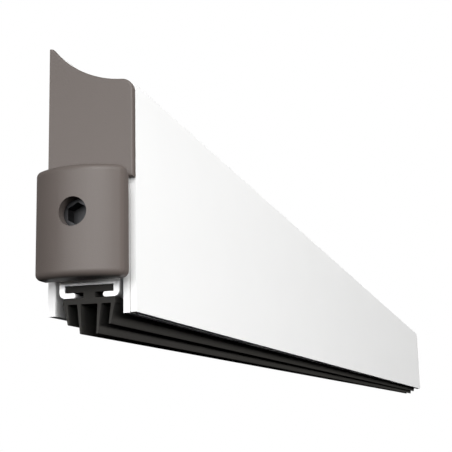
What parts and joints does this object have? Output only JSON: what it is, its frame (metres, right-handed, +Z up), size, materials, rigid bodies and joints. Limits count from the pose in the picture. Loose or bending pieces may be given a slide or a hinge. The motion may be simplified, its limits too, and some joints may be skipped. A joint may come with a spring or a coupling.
{
  "type": "automatic door bottom seal",
  "caption": "Slim aluminium door bottom seal with a white clip-on cover, grey end caps and a press plunger that drops a finned rubber gasket to the floor.",
  "frame": {"origin": "on the face that lies on the door, at mid length, on the line of the fixing holes", "axes": "+X along the seal from the plunger end, +Y out of the door-side face into the door, +Z up; the cover faces -Y"},
  "size_m": [0.5081, 0.014, 0.0448],
  "materials": {
    "profile_aluminium": "satin anodised",
    "cover_paint": "smooth white powder coat",
    "cap_plastic": "fine moulded satin, warm grey",
    "guide_plastic": "natural nylon",
    "carrier_aluminium": "satin anodised",
    "gasket_rubber": "matt extruded rubber",
    "screw_steel": "dark oxide",
    "plated_steel": "bright zinc",
    "spring_steel": "drawn wire"
  },
  "bodies": {
    "housing": {"base_profile": "profile_aluminium", "front_cover": "cover_paint", "end_cap_front": "cap_plastic", "end_cap_rear": "cap_plastic", "guide_block_front": "guide_plastic", "guide_block_middle": "guide_plastic", "guide_block_rear": "guide_plastic", "guide_block_screws": "screw_steel", "return_spring": "spring_steel"},
    "drive": {"push_rod": "plated_steel", "spring_washer": "plated_steel", "drive_bar": "plated_steel", "rod_cross_pin": "plated_steel", "link_top_pins": "plated_steel"},
    "plunger": {"plunger": "cap_plastic", "screw_retainer": "plated_steel"},
    "adjuster": {"adjuster_screw": "screw_steel"},
    "carrier": {"seal_carrier": "carrier_aluminium", "gasket": "gasket_rubber", "bracket_front": "plated_steel", "bracket_middle": "plated_steel", "bracket_rear": "plated_steel", "bracket_rivets": "plated_steel", "link_bottom_pins": "plated_steel"},
    "link_front": {"link_front": "plated_steel"},
    "link_middle": {"link_middle": "plated_steel"},
    "link_rear": {"link_rear": "plated_steel"}
  },
  "joints": [
    {"name": "plunger_press", "type": "slide", "parent": "housing", "child": "drive", "axis": [1, 0, 0], "range_m": [0, 0.0022], "stiffness_N_per_m": 1500, "springref_m": -0.008, "deforming": ["return_spring"]},
    {"name": "seal_drop", "type": "slide", "parent": "housing", "child": "carrier", "axis": [0, 0, -1], "range_m": [0, 0.0088]},
    {"name": "plunger_adjust", "type": "slide", "parent": "drive", "child": "plunger", "axis": [-1, 0, 0], "range_m": [0, 0.0014]},
    {"name": "adjuster_turn", "type": "hinge", "parent": "plunger", "child": "adjuster", "pos_m": [-0.2551, -0.007, -0.0129], "axis": [-1, 0, 0], "range_deg": [0, 720.5]},
    {"name": "link_front_swing", "type": "hinge", "parent": "drive", "child": "link_front", "pos_m": [-0.18, -0.007, -0.0116], "axis": [0, 1, 0], "range_deg": [0, 12.08]},
    {"name": "link_middle_swing", "type": "hinge", "parent": "drive", "child": "link_middle", "pos_m": [-0.015, -0.007, -0.0116], "axis": [0, 1, 0], "range_deg": [0, 12.08]},
    {"name": "link_rear_swing", "type": "hinge", "parent": "drive", "child": "link_rear", "pos_m": [0.15, -0.007, -0.0116], "axis": [0, 1, 0], "range_deg": [0, 12.08]}
  ],
  "couplings": [
    {"joint": "seal_drop", "follows": "plunger_press", "ratio": 4},
    {"joint": "adjuster_turn", "follows": "plunger_adjust", "rad_per_m": 8976},
    {"joint": "link_front_swing", "follows": "plunger_press", "rad_per_m": 95.798},
    {"joint": "link_middle_swing", "follows": "plunger_press", "rad_per_m": 95.798},
    {"joint": "link_rear_swing", "follows": "plunger_press", "rad_per_m": 95.798}
  ]
}
